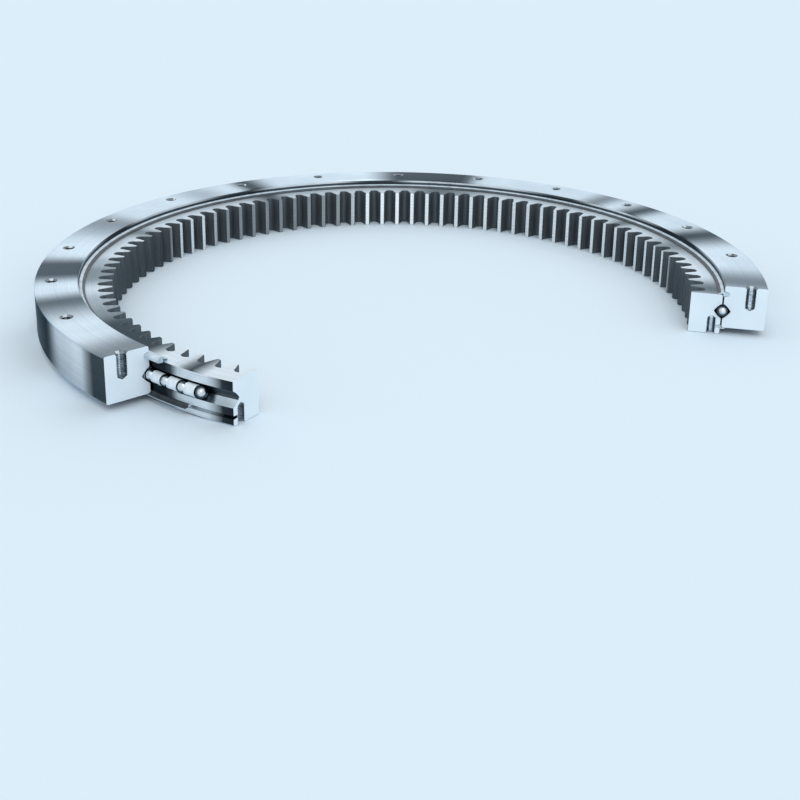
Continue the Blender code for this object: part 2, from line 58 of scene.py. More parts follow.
# %% Camera
SENSOR_WIDTH = 36
PICTURE_SIDE = 800
FOCAL_PIXELS = 1240.13
MIDDLE_PIXELS = (402.31, 259.32)
CAMERA_ELEVATION = math.radians(18.3063)
CAMERA_DISTANCE = 1.68
CAMERA_ROLL = 0.0176
RING_TOP = Vector((0, 0, 0.066))

camera = bpy.data.objects.new("camera", bpy.data.cameras.new("camera"))
camera.data.sensor_width = SENSOR_WIDTH
camera.data.lens = SENSOR_WIDTH * FOCAL_PIXELS / PICTURE_SIDE
camera.data.shift_x = (PICTURE_SIDE / 2 - MIDDLE_PIXELS[0]) / PICTURE_SIDE
camera.data.shift_y = (MIDDLE_PIXELS[1] - PICTURE_SIDE / 2) / PICTURE_SIDE
camera.data.clip_start = 0.01
back = Vector((0, -math.cos(CAMERA_ELEVATION), math.sin(CAMERA_ELEVATION)))
level = Vector((1, 0, 0))
upright = back.cross(level)
right = math.cos(CAMERA_ROLL) * level + math.sin(CAMERA_ROLL) * upright
turned_frame = Matrix((right, back.cross(right), back)).transposed().to_4x4()
camera.matrix_world = Matrix.Translation(AXIS + RING_TOP + back * CAMERA_DISTANCE) @ turned_frame
bpy.context.scene.collection.objects.link(camera)
bpy.context.scene.camera = camera
bpy.context.scene.view_settings.view_transform = "Standard"
print("lens", round(camera.data.lens, 1), "mm, camera at", camera.location)

# %% [markdown]
# ## Sizes
# These are the sizes of the solids, in millimetres and degrees. Only two are smaller: the wide ring's
# rim by 0.3 mm and the toothed ring's shoulder by 0.1 mm. The solids' rims are made of flat facets, and
# rounder ones of full size would stand proud of them.

# %% Sizes
MM = 0.001
FIT = 0.3
INNER_RADIUS = 424.0 - 0.1
BORE_RADIUS = 426.0
ORBIT_RADIUS = 425.0
OUTER_RADIUS = 480.0
RIM_RADIUS = OUTER_RADIUS - 0.3
BOTTOM_STEP = 9.0
TOP = 66.0
INNER_TOP = 54.0
ORBIT_HEIGHT = 31.5
BALL_RADIUS = 8.0
RIGHT_CUT = -11.71
HOLE_STEP = 360 / 21
OUTER_HOLES_LEFT = 14
INNER_HOLES_LEFT = 15
OUTER_CUT = RIGHT_CUT + OUTER_HOLES_LEFT * HOLE_STEP
INNER_CUT = RIGHT_CUT + INNER_HOLES_LEFT * HOLE_STEP
BLANK_PAST_CUT = 4.0
OUTER_CUT_ANGLE = 8.0
INNER_CUT_ANGLE = 10.0
OUTER_HOLE_RADIUS = 459.0
INNER_HOLE_RADIUS = 412.5
BALL_COUNT = 74
ROW_END = 239.6
BALL_STEP = (ROW_END - RIGHT_CUT) / (BALL_COUNT - 1)
BALL_PITCH = 2 * ORBIT_RADIUS * math.sin(math.radians(BALL_STEP / 2))
SWEEP_STEP = HOLE_STEP / 16
print("ball spacing", round(BALL_PITCH, 2), "mm")

# %% [markdown]
# ## Helpers for nodes and colours
# Colours are written as they look on a screen, in sRGB hex, and one function turns them into the linear
# values that Blender mixes light with. One small function adds a node, sets it up and links it, and the
# others make what most finishes need: a ramp of colours, spots of a size, a product and a fine relief.

# %% Node helpers
def srgb(code):
    """Linear RGBA from a six-digit sRGB hex code."""
    parts = [int(code[k:k + 2], 16) / 255 for k in (0, 2, 4)]
    return (*[c / 12.92 if c <= 0.04045 else ((c + 0.055) / 1.055) ** 2.4 for c in parts], 1.0)


def add(tree, kind, inputs=(), **settings):
    """Adds a node. An input is given as (socket, value), and the value may be another node's output."""
    node = tree.nodes.new("ShaderNode" + kind)
    for key, value in settings.items():
        setattr(node, key, value)
    for key, value in inputs:
        if isinstance(value, bpy.types.NodeSocket):
            tree.links.new(value, node.inputs[key])
        else:
            node.inputs[key].default_value = value
    return node


def finish(name, **sockets):
    """New material and its Principled shader, with these values on the shader's own sockets."""
    mat = bpy.data.materials.new(name)
    mat.use_nodes = True
    shader = mat.node_tree.nodes["Principled BSDF"]
    for key, value in sockets.items():
        shader.inputs[key.replace("_", " ")].default_value = value
    return mat, mat.node_tree, shader


def ramp(tree, factor, stops, curve="LINEAR"):
    """Colour ramp from (position, hex) stops."""
    node = add(tree, "ValToRGB", [("Fac", factor)])
    node.color_ramp.interpolation = curve
    for _ in stops[2:]:
        node.color_ramp.elements.new(0.5)
    for element, (position, code) in zip(node.color_ramp.elements, stops):
        element.position = position
        element.color = srgb(code)
    return node.outputs["Color"]


def spots(tree, place, size, detail):
    """Noise whose spots are about this large."""
    return add(tree, "TexNoise", [("Vector", place), ("Scale", 1 / size), ("Detail", detail)]).outputs["Fac"]


def product(tree, first, second):
    """The two colours multiplied."""
    sockets = [("Fac", 1.0), ("Color1", first), ("Color2", second)]
    return add(tree, "MixRGB", sockets, blend_type="MULTIPLY").outputs["Color"]


def relief(tree, shader, height, strength, depth):
    """Gives the shader a fine relief of this depth."""
    bump = add(tree, "Bump", [("Height", height), ("Strength", strength), ("Distance", depth)])
    tree.links.new(bump.outputs["Normal"], shader.inputs["Normal"])


# %% [markdown]
# ## Turned steel
# Rings like these are 42CrMo4, a chromium-molybdenum steel, turned on a vertical lathe. The tool leaves
# fine grooves round the axis, so the metal spreads its gloss across them and shows fans of light and
# dark, narrow at the bore and wide at the rim. The real grooves are about 0.3 mm apart, far below a
# pixel. The shader's anisotropy gives their gloss, and a noise that changes only with the radius and the
# height draws a few of them 2.5 mm apart, to be seen. The photo shows more fans than soft light can make,
# with sharper edges. So each turned face also has painted reflections: sectors given as stops round the
# axis, where its steel is painted darker and made duller, as dark fans of reflection.

# %% Helpers for turned steel
GROOVE = 2.5 * MM
GROOVE_DEPTH = 0.03 * MM
WIPE_MARK = 60 * MM


def round_the_axis(tree):
    """Object position, a tangent that runs round the axis, and a value that changes across grooves."""
    place = add(tree, "TexCoord").outputs["Object"]
    tangent = add(tree, "VectorMath", [(0, (0, 0, 1)), (1, place)], operation="CROSS_PRODUCT")
    flat = add(tree, "VectorMath", [(0, place), (1, (1, 1, 0))], operation="MULTIPLY")
    radius = add(tree, "VectorMath", [(0, flat.outputs[0])], operation="LENGTH").outputs["Value"]
    height = add(tree, "SeparateXYZ", [(0, place)]).outputs["Z"]
    across = add(tree, "Math", [(0, radius), (1, height)], operation="ADD").outputs[0]
    unit = add(tree, "VectorMath", [(0, tangent.outputs[0])], operation="NORMALIZE").outputs[0]
    world = add(tree, "VectorTransform", [(0, unit)], vector_type="VECTOR", convert_from="OBJECT",
                convert_to="WORLD")
    return place, world.outputs[0], across


def between(light, dark, share):
    """Hex colour that lies this share of the way from the light one to the dark one."""
    pairs = [(int(light[k:k + 2], 16), int(dark[k:k + 2], 16)) for k in (0, 2, 4)]
    return "".join(f"{round(a + (b - a) * share):02X}" for a, b in pairs)


def sectors(tree, place, fans, light, dark):
    """Painted reflection fans round the axis, from (azimuth, depth) stops: light at depth 0, dark at depth
    1.
    """
    compass = add(tree, "TexGradient", [("Vector", place)], gradient_type="RADIAL").outputs["Fac"]
    stops = [((azimuth / 360 + 0.5) % 1.0, between(light, dark, depth)) for azimuth, depth in fans]
    return ramp(tree, compass, sorted(stops), "EASE")


def turned_steel(name, light, dark, fans, roughness=0.34, grazing="D9E5EE"):
    """Steel with painted reflection sectors. The grazing colour takes the place of the white that a metal
    shows edge-on.
    """
    mat, tree, shader = finish(name, Metallic=1.0, Anisotropic=0.9, Anisotropic_Rotation=0.25)
    shader.inputs["Specular Tint"].default_value = srgb(grazing)
    place, tangent, across = round_the_axis(tree)
    grooves = add(tree, "TexNoise", [("W", across), ("Scale", 1 / GROOVE), ("Detail", 3.0)],
                  noise_dimensions="1D").outputs["Fac"]
    fan = sectors(tree, place, fans, light, dark)
    lines = ramp(tree, grooves, [(0.3, "EEF1F2"), (0.6, "FFFFFF")])
    wipes = ramp(tree, spots(tree, place, WIPE_MARK, 3.0), [(0.3, "F2F4F5"), (0.65, "FFFFFF")])
    steel = product(tree, fan, product(tree, lines, wipes))
    tree.links.new(steel, shader.inputs["Base Color"])
    bright = add(tree, "RGBToBW", [("Color", fan)])
    dull = add(tree, "MapRange", [("Value", bright.outputs[0]), ("From Min", 0.1), ("From Max", 0.8),
                                  ("To Min", roughness + 0.1), ("To Max", roughness)])
    tree.links.new(dull.outputs["Result"], shader.inputs["Roughness"])
    relief(tree, shader, grooves, 0.2, GROOVE_DEPTH)
    tree.links.new(tangent, shader.inputs["Tangent"])
    return mat


print("groove spacing drawn", GROOVE / MM, "mm")

# %% Turned faces
# Stops of the painted reflection fans: (azimuth, depth), with darker and duller steel at depth 1.
WIDE_FANS = [
    (8, 0), (17.5, 1), (24, 0), (30, 0), (35, 0.9), (40.5, 0), (45, 0.5), (50, 0), (72, 0), (77, 0.9),
    (91, 0.85), (99, 0), (118, 0), (124.5, 0.9), (129, 0), (136, 0.2), (143, 0), (154, 0), (161, 0.45),
    (175, 0), (180.2, 0), (186, 0.95), (191, 0.95), (196.5, 0), (199, 0), (204, 0.75), (215, 0), (219, 0),
    (227, 0.5), (343, 0), (351, 0.6), (361, 0)]
TOOTHED_FANS = [
    (9, 0), (17, 0.45), (24, 0), (31, 0), (34.5, 0.6), (38, 0), (64, 0), (82, 0.6), (94, 0.1), (117, 0.1),
    (122, 0.75), (129, 0), (155, 0), (160, 0.5), (165, 0), (175, 0), (179.8, 0.25), (180.2, 0.25),
    (185, 0.5), (189, 0.5), (195, 0.1), (202, 0.35), (208, 0.5), (214, 0.95), (226, 0.95), (231, 0),
    (234, 0), (237.5, 0.95), (240.5, 0), (343, 0), (351, 0.7), (359, 0)]
RIM_FANS = [
    (6, 0), (13, 0.9), (24, 0.9), (33, 0), (43, 0), (51, 0.8), (55, 0.8), (66, 0), (86, 0), (93, 0.9),
    (98, 0.9), (108, 0), (120, 0), (126, 0.85), (131, 0.85), (143, 0), (155, 0), (162, 0.9), (168, 0.9),
    (177, 0), (192, 0), (194, 1), (209.5, 1), (215, 0), (221.5, 0), (225, 0.85), (233, 0.85), (238, 0)]
SHOULDER_FANS = [
    (5, 0), (10, 0.9), (20, 0.9), (26, 0), (42, 0), (47, 0.9), (58, 0.9), (64, 0), (80, 0), (85, 0.9),
    (95, 0.9), (101, 0), (117, 0), (122, 0.9), (132, 0.9), (138, 0), (151, 0), (156, 0.9), (166, 0.9),
    (172, 0), (186, 0), (191, 0.9), (200, 0.9), (206, 0), (219, 0), (224, 1), (233, 1), (235.5, 0),
    (240.5, 0), (243.5, 1), (249, 1), (254, 0)]
LIP_FANS = [
    (5, 0), (10, 0.9), (20, 0.9), (26, 0), (80, 0), (85, 0.9), (95, 0.9), (101, 0), (151, 0), (156, 0.9),
    (166, 0.9), (172, 0), (215, 0.4), (226, 0.45), (233, 0.45), (235.5, 0), (240.5, 0), (243.5, 1),
    (249, 1), (254, 0)]
TIP_FANS = [
    (9, 0.9), (13, 0), (100.5, 0), (104, 0.45), (138, 0.45), (141, 0), (151, 0), (155.5, 0.9),
    (179.8, 0.9), (180.2, 0.9), (188, 0.9), (196, 0), (240, 0), (345, 0.9)]
wide_face = turned_steel("turned_42CrMo4_wide_face", "E8F5FF", "333B41", WIDE_FANS)
toothed_face = turned_steel("turned_42CrMo4_toothed_face", "EEF7FE", "384147", TOOTHED_FANS)
rim_face = turned_steel("turned_42CrMo4_rim", "FBFDFF", "30383E", RIM_FANS, 0.3, "A9B2B8")
shoulder_face = turned_steel("turned_42CrMo4_shoulder", "F4F9FC", "30373D", SHOULDER_FANS, 0.3, "B4BCC2")
lip_face = turned_steel("turned_42CrMo4_lip", "F4F9FC", "30373D", LIP_FANS, 0.3, "B4BCC2")
tip_face = turned_steel("turned_tooth_tip", "FAFDFF", "3A4349", TIP_FANS, 0.4)
# The bore and the track above the shade line: darker steel, painted shade, with the rim's painted fans.
shaded_bore_face = turned_steel("painted_shade_bore", "59636A", "2F363B", RIM_FANS, 0.3)
turned_faces = (wide_face, toothed_face, rim_face, shoulder_face, lip_face, tip_face, shaded_bore_face)
print("turned faces", [mat.name for mat in turned_faces])

# %% [markdown]
# ## Ground raceways, shaped teeth, tapped holes, the sawn faces
# The raceways are induction hardened and ground, so they are smoother. A gear shaper cuts the teeth
# with strokes along the axis, which leaves upright marks; the gear steel is painted a dull charcoal as
# shade in the deep tooth spaces. The threads are a darker steel, painted shade inside the holes. A bore
# that is sawn open shows a bright streak down its middle, between dark sides, and this studio is too
# soft to draw it. So the strip of wall where it falls is a painted highlight of brighter steel. The sawn
# faces of such a sample are milled flat and sprayed with a thin matt lacquer, so that the section reads
# as one pale shape.

# %% Other finishes of the rings
STROKE = 1.2 * MM


def plain_steel(name, light, dark, roughness, size, depth, stretch=1.0):
    """Steel with one pattern, drawn out along the axis where the tool's strokes run that way."""
    mat, tree, shader = finish(name, Metallic=1.0, Roughness=roughness)
    place = add(tree, "TexCoord").outputs["Object"]
    drawn = add(tree, "VectorMath", [(0, place), (1, (1, 1, stretch))], operation="MULTIPLY")
    marks = spots(tree, drawn.outputs[0], size, 2.0)
    tree.links.new(ramp(tree, marks, [(0.3, dark), (0.7, light)]), shader.inputs["Base Color"])
    relief(tree, shader, marks, 0.3, depth)
    return mat


def lacquered_section():
    mat, tree, shader = finish("matt_lacquer", Roughness=0.6, IOR=1.48)
    place = add(tree, "TexCoord").outputs["Object"]
    coats = spots(tree, place, 40 * MM, 1.0)
    droplets = spots(tree, place, 1.5 * MM, 3.0)
    tree.links.new(ramp(tree, coats, [(0.3, "DCE9F2"), (0.7, "E4F0F8")]), shader.inputs["Base Color"])
    relief(tree, shader, droplets, 0.2, 0.03 * MM)
    return mat


raceway_steel = plain_steel("ground_raceway", "CBD9E3", "AEBDC8", 0.24, 14 * MM, 0.01 * MM)
# Charcoal gear steel: painted shade for the deep tooth spaces.
shaded_gear_steel = plain_steel("shaped_gear_steel_painted_shade", "747C82", "626A70", 0.7, STROKE, 0.03 * MM, 0.04)
# Darker thread steel: painted shade inside the holes.
shaded_thread_steel = plain_steel("painted_shade_thread", "98A3AB", "616B72", 0.4, 4 * MM, 0.02 * MM)
# Bright thread steel: a painted highlight down the middle of sawn-open holes.
thread_glint = plain_steel("painted_highlight_thread", "EAF2F7", "C3CED6", 0.2, 4 * MM, 0.02 * MM)
lacquer = lacquered_section()
other_finishes = (raceway_steel, shaded_gear_steel, shaded_thread_steel, thread_glint, lacquer)
print("other finishes", [mat.name for mat in other_finishes])

# %% [markdown]
# A ring's section says which finish starts at each of its points: the flat face, the raceway, the sawn
# section, the upright side, the bore in painted shade, a tooth's land or the lip under the seal. Each
# ring has its own list of materials in that order.

# %% Lists of finishes
FACE, RACE, SECTION, SIDE, BORE, TIP, LIP = range(7)
WIDE_FINISHES = [wide_face, raceway_steel, lacquer, rim_face, shaded_bore_face]
TOOTHED_FINISHES = [toothed_face, raceway_steel, lacquer, shoulder_face, shaded_bore_face, tip_face,
                    lip_face]
print("finishes of the wide ring", len(WIDE_FINISHES), "and of the toothed ring", len(TOOTHED_FINISHES))

# %% [markdown]
# ## Making solids
# A ring is its section carried round the axis, so `swept` lays one copy of the section at each step
# and skins between them. Anything drilled or turned is a half outline spun about an axis. The holes,
# the tooth spaces and the saw cuts are Booleans, as they are cut from the blank in the workshop, and
# each cutter brings its own finish along, so the thread and the sawn face are there as soon as it cuts.

# %% Solid helpers
SHARP_ANGLE = math.radians(30)


def polar(radius, azimuth, height=0.0):
    """Point about the ring's axis in metres, from millimetres and degrees."""
    angle = math.radians(azimuth)
    return Vector((radius * math.cos(angle), radius * math.sin(angle), height)) * MM


def seat(radius, azimuth, height=0.0, turn=0.0):
    """Frame at a point of the ring: X outwards, Y along the ring."""
    facing = Matrix.Rotation(math.radians(azimuth - turn), 4, "Z")
    return Matrix.Translation(polar(radius, azimuth, height)) @ facing


def swept(outline, start, end, fray=0.0):
    """Closed section of (radius, height, finish) points carried round the axis.

    Both ends take the SECTION finish, and the last one is frayed by up to this many degrees."""
    steps = max(1, round((end - start) / SWEEP_STEP))
    bm = bmesh.new()
    rows = []
    for k in range(steps + 1):
        azimuth = start + (end - start) * k / steps
        torn = fray if k == steps else 0.0
        points = [polar(r, azimuth + torn * random.uniform(-1, 1), z) for r, z, _ in outline]
        rows.append([bm.verts.new(point) for point in points])
    for here, there in zip(rows, rows[1:]):
        for i, point in enumerate(outline):
            j = (i + 1) % len(outline)
            bm.faces.new((here[i], here[j], there[j], there[i])).material_index = point[2]
    for row in (rows[0], rows[-1]):
        bm.faces.new(row).material_index = SECTION
    bmesh.ops.recalc_face_normals(bm, faces=bm.faces)
    return bm


def spun(outline, sides):
    """Solid spun about Z from (radius, height) points that begin and end on the axis."""
    bm = bmesh.new()
    rings = []
    for r, z in outline:
        if r == 0:
            rings.append([bm.verts.new((0, 0, z * MM))] * sides)
        else:
            turns = [math.tau * (k + 0.5) / sides for k in range(sides)]
            circle = [(r * MM * math.cos(t), r * MM * math.sin(t), z * MM) for t in turns]
            rings.append([bm.verts.new(point) for point in circle])
    for upper, lower in zip(rings, rings[1:]):
        for k in range(sides):
            j = (k + 1) % sides
            corners = dict.fromkeys((upper[k], upper[j], lower[j], lower[k]))
            bm.faces.new(list(corners))
    bmesh.ops.recalc_face_normals(bm, faces=bm.faces)
    return bm


def rod(radius, start, end, sides):
    """Plain rod along Z between two heights."""
    return spun([(0, end), (radius, end), (radius, start), (0, start)], sides)


def repeated(bm, places):
    """The same solid at each of several places, as one bmesh."""
    pattern = bpy.data.meshes.new("pattern")
    bm.to_mesh(pattern)
    bm.clear()
    for matrix in places:
        first = len(bm.verts)
        bm.from_mesh(pattern)
        bm.verts.ensure_lookup_table()
        bmesh.ops.transform(bm, matrix=matrix, verts=bm.verts[first:])
    bpy.data.meshes.remove(pattern)
    return bm


def shade(mesh):
    """Smooth faces, with the sharp edges kept."""
    mesh.shade_smooth()
    mesh.set_sharp_from_angle(angle=SHARP_ANGLE)


def piece(name, bm, finishes, place=Matrix.Identity(4)):
    """New object whose place is given from the ring's axis."""
    mesh = bpy.data.meshes.new(name)
    bm.to_mesh(mesh)
    bm.free()
    for mat in finishes:
        mesh.materials.append(mat)
    shade(mesh)
    obj = bpy.data.objects.new(name, mesh)
    obj.matrix_world = Matrix.Translation(AXIS) @ place
    bpy.context.scene.collection.objects.link(obj)
    return obj


def cut(target, cutters, operation="DIFFERENCE"):
    """Cuts with each cutter in turn, keeps the result as the mesh and removes the cutters."""
    for cutter in cutters:
        step = target.modifiers.new(cutter.name, "BOOLEAN")
        step.object = cutter
        step.operation = operation
        step.solver = "EXACT"
        step.material_mode = "TRANSFER"
    bpy.context.view_layer.update()
    graph = bpy.context.evaluated_depsgraph_get()
    mesh = bpy.data.meshes.new_from_object(target.evaluated_get(graph))
    target.modifiers.clear()
    target.data = mesh
    for cutter in cutters:
        bpy.data.objects.remove(cutter)
    shade(mesh)


def dress(obj, body, slot, *nodes):
    """Rides a finished piece on its body in place of the solids that it stands for."""
    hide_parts(*nodes)
    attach(obj, body)
    print(obj.name, len(obj.data.polygons), "faces")


# %% [markdown]
# ## Tapped holes
# A tapped hole is a drilled hole whose wall carries a thread. A true thread is a helix, but at this
# size plain V grooves at the thread's pitch look the same and keep the cutter one clean spun solid. The
# flat between two grooves, a groove's flank and its root are given as shares of the pitch. The saw
# passes through the middle of four holes, so their threads are seen in section.

# %% Tapped hole
HOLE_SIDES = 28
DRILL_POINT = math.tan(math.radians(118 / 2))
THREAD_FLAT = 0.55
THREAD_FLANK = 0.2
THREAD_ROOT = 0.05
HIGHLIGHT_HALF_ANGLE = math.radians(14)


def tapped_hole(core, crest, pitch, depth, mouth):
    """Half outline of a hole down from Z = 0: countersunk mouth, grooved wall and drill point."""
    outline = [(0, 1), (mouth / 2 + 1, 1), (core / 2, (core - mouth) / 2)]
    z = (core - mouth) / 2 - pitch / 4
    while z - pitch > -depth + 2:
        groove = z - pitch * THREAD_FLAT
        root = groove - pitch * THREAD_FLANK
        outline += [(core / 2, z), (core / 2, groove)]
        outline += [(crest / 2, root), (crest / 2, root - pitch * THREAD_ROOT)]
        z -= pitch
    return outline + [(core / 2, z), (core / 2, -depth), (0, -depth - core / 2 / DRILL_POINT)]


def thread_cutter(outline, places):
    """Tapped holes at these places, with a painted highlight strip where the holes' own circle crosses the
    wall.
    """
    bm = spun(outline, HOLE_SIDES)
    # Faces near the holes' own circle take the painted highlight.
    for face in bm.faces:
        middle = face.calc_center_median()
        face.material_index = int(abs(middle.x) < abs(middle.y) * math.tan(HIGHLIGHT_HALF_ANGLE))
    return piece("drill", repeated(bm, places), [shaded_thread_steel, thread_glint])


outer_hole = tapped_hole(core=12.0, crest=14.0, pitch=2.0, depth=28, mouth=16.5)
inner_hole = tapped_hole(core=10.2, crest=12.0, pitch=1.75, depth=22, mouth=13.0)
print("thread grooves", len(outer_hole) // 4 - 1, "and", len(inner_hole) // 4 - 1)

# %% [markdown]
# ## Saw cuts
# The saw that opened the sample went straight down through a bolt hole in each ring, not quite along
# the radius. A large box laid against that plane takes away everything beyond it.

# %% Saw cut
SAW_BOX = 300 * MM


def saw_cut(name, hole_radius, azimuth, turn):
    """Box beyond a cut through a bolt hole's axis, turned off the radius by this angle."""
    bm = bmesh.new()
    bmesh.ops.create_cube(bm, size=SAW_BOX)
    bmesh.ops.translate(bm, verts=bm.verts, vec=(0, SAW_BOX / 2, 0))
    return piece(name, bm, [lacquer], seat(hole_radius, azimuth, 0, turn))


# %% [markdown]
# ## The wide outer ring
# Its section is nearly a rectangle. Down the bore it has a groove for the seal and half of the balls'
# track, a pointed arch ground so that each ball touches it on two lines. The arch is drawn with more
# points here than in the solid, because its reflections show every facet.

# %% Section of the outer ring
ARCH_RADIUS = 30.0
ARCH_STEPS = 8
BALL_CLEARANCE = 0.5
SHADE_LINE = -2.0
CHAMFER = 1.5
SEAL_DEPTH = 6.0
RIM_EDGE = 2.0
RIM_ROUND = 0.6


def raceway(side):
    """Points of the pointed arch, from its upper edge down. Side is 1 in the wide ring, or else -1.

    Above the shade line the track is painted darker, as shade, and the plain side starts at the last point."""
    offset = (ARCH_RADIUS - BALL_RADIUS - BALL_CLEARANCE) * math.sqrt(0.5)
    gap = BORE_RADIUS - ORBIT_RADIUS if side > 0 else ORBIT_RADIUS - INNER_RADIUS
    edge = math.asin((gap + offset) / ARCH_RADIUS)
    apex = math.acos(offset / ARCH_RADIUS)
    turns = [edge + (apex - edge) * k / ARCH_STEPS for k in range(ARCH_STEPS + 1)]
    upper = [(ARCH_RADIUS * math.sin(t) - offset, ARCH_RADIUS * math.cos(t) - offset) for t in turns]
    points = upper + [(x, -z) for x, z in reversed(upper[:-1])]
    finishes = [BORE if z > SHADE_LINE else RACE for _, z in points[:-1]] + [SIDE]
    return [(ORBIT_RADIUS + side * x, ORBIT_HEIGHT + z, start) for (x, z), start in zip(points, finishes)]


def points_of(finish, *points):
    """Outline points, each with the finish of the face that starts there."""
    return [(r, z, finish) for r, z in points]


outer_section = [
    *points_of(FACE, (BORE_RADIUS + CHAMFER, TOP)),
    *points_of(SIDE, (BORE_RADIUS, TOP - CHAMFER)),
    *points_of(BORE, (BORE_RADIUS, 61.8), (BORE_RADIUS, 59.0)),
    *points_of(BORE, (BORE_RADIUS + SEAL_DEPTH, 57.0), (BORE_RADIUS + SEAL_DEPTH, 53.0)),
    *points_of(BORE, (BORE_RADIUS, 51.0)),
    *raceway(1),
    *points_of(FACE, (BORE_RADIUS, BOTTOM_STEP + CHAMFER), (BORE_RADIUS + CHAMFER, BOTTOM_STEP)),
    *points_of(FACE, (RIM_RADIUS - RIM_EDGE, BOTTOM_STEP)),
    *points_of(FACE, (RIM_RADIUS - RIM_ROUND, BOTTOM_STEP + RIM_ROUND)),
    *points_of(SIDE, (RIM_RADIUS, BOTTOM_STEP + RIM_EDGE)),
    *points_of(FACE, (RIM_RADIUS, TOP - RIM_EDGE), (RIM_RADIUS - RIM_ROUND, TOP - RIM_ROUND)),
    *points_of(FACE, (RIM_RADIUS - RIM_EDGE, TOP)),
]
print("points in the outer ring's section", len(outer_section))

# %% [markdown]
# The ring is swept past its left end, drilled, bored for the filling plug and the grease nipples on the
# far side, and then sawn. The balls are put in through the filling hole, one by one.

# %% Outer ring
PLUG_AZIMUTH = RIGHT_CUT + 5.5 * HOLE_STEP
PLUG_RADIUS = 11.0
PIN_BORE_RADIUS = 4.0
NIPPLE_AZIMUTHS = [RIGHT_CUT + (hole + 0.5) * HOLE_STEP for hole in (2, 4, 7, 9)]
NIPPLE_BORE_RADIUS = 5.0
NIPPLE_SEAT = OUTER_RADIUS - 11.3
GREASE_WAY_RADIUS = 2.0
ON_ITS_SIDE = Matrix.Rotation(math.radians(90), 4, "Y")


def from_the_axis(azimuth):
    """Frame at the balls' height whose Z points outwards."""
    return seat(0, azimuth, ORBIT_HEIGHT) @ ON_ITS_SIDE


def pin_drill():
    """The taper pin's way up from the base, through the ring and the plug alike."""
    way = rod(PIN_BORE_RADIUS, BOTTOM_STEP - 1, ORBIT_HEIGHT + PLUG_RADIUS, 24)
    return piece("pin_drill", way, [shaded_thread_steel], seat(OUTER_HOLE_RADIUS, PLUG_AZIMUTH))


outer_blank = swept(outer_section, RIGHT_CUT, OUTER_CUT + BLANK_PAST_CUT)
outer_ring = piece("wide_ring", outer_blank, WIDE_FINISHES)
outer_azimuths = [RIGHT_CUT + HOLE_STEP * k for k in range(OUTER_HOLES_LEFT + 1)]
outer_places = [seat(OUTER_HOLE_RADIUS, azimuth, TOP) for azimuth in outer_azimuths]
drill = thread_cutter(outer_hole, outer_places)
plug_bore = rod(PLUG_RADIUS, ORBIT_RADIUS, OUTER_RADIUS + 2, 40)
plug_drill = piece("plug_drill", plug_bore, [rim_face], from_the_axis(PLUG_AZIMUTH))
pin_cutter = pin_drill()
past_rim = OUTER_RADIUS + 1
grease_way = [(0, past_rim), (NIPPLE_BORE_RADIUS, past_rim), (NIPPLE_BORE_RADIUS, NIPPLE_SEAT),
              (GREASE_WAY_RADIUS, NIPPLE_SEAT), (GREASE_WAY_RADIUS, ORBIT_RADIUS), (0, ORBIT_RADIUS)]
grease_places = [from_the_axis(azimuth) for azimuth in NIPPLE_AZIMUTHS]
grease_drill = piece("grease_drill", repeated(spun(grease_way, 24), grease_places), [shaded_thread_steel])
saw = saw_cut("outer_saw", OUTER_HOLE_RADIUS, OUTER_CUT, OUTER_CUT_ANGLE)
cut(outer_ring, [drill, plug_drill, pin_cutter, grease_drill, saw])
dress(outer_ring, "outer_ring", "ring_steel", "outer_ring")

# %% [markdown]
# ## The toothed inner ring
# The gear has 98 teeth of module 8 on the full circle. A tooth space is bounded by two involute
# flanks and a round root. The cutter for one space is flared at its top and bottom, which leaves the
# small chamfer that a fitter files on every tooth so that no burr cuts a hand. The bore is turned before
# the teeth are shaped, so each tooth's land is a strip of that bore and carries its painted fans of
# light and dark.

# %% Tooth spaces
TEETH = 98
PITCHES_LEFT = 70
MODULE = 8.0
PRESSURE_ANGLE = math.radians(20)
TIP_RADIUS = 384.0
ROOT_RADIUS = 402.0
ROOT_ARCH = 8.0
ARCH_START = ROOT_RADIUS - ROOT_ARCH
PITCH_RADIUS = MODULE * TEETH / 2
FLANK_ROOM = 0.8
TOOTH_STEP = 360 / TEETH
TOOTH_PHASE = 0.37
EDGE_CHAMFER = 0.7


def space_half_width(radius):
    """Half a tooth space's width on the circle of this radius: the involute, with some room beside it."""
    base = PITCH_RADIUS * math.cos(PRESSURE_ANGLE)
    flank = math.acos(base / radius)
    at_pitch = math.pi / (2 * TEETH) + math.tan(PRESSURE_ANGLE) - PRESSURE_ANGLE
    return radius * (at_pitch - math.tan(flank) + flank) + FLANK_ROOM


def space_outline(grown):
    """One space along X. Its flanks move out by the length it is grown, and its root by up to as much."""
    side = [(TIP_RADIUS - 4, space_half_width(TIP_RADIUS) + 0.2)]
    side += [(r, space_half_width(r)) for r in (TIP_RADIUS, 386, 388, 390, 392, ARCH_START)]
    width = space_half_width(ARCH_START)
    for turn in map(math.radians, (15, 30, 45, 60, 75)):
        side.append((ARCH_START + ROOT_ARCH * math.sin(turn), width * math.cos(turn)))
    points = side + [(ROOT_RADIUS, 0.0)] + [(x, -y) for x, y in reversed(side)]
    middle = (TIP_RADIUS + ROOT_RADIUS) / 2
    outline = []
    for x, y in points:
        deeper = grown * max(0.0, x - middle) / (ROOT_RADIUS - middle)
        wider = grown * ((y > 0.1) - (y < -0.1))
        outline.append((x + deeper, y + wider))
    return outline


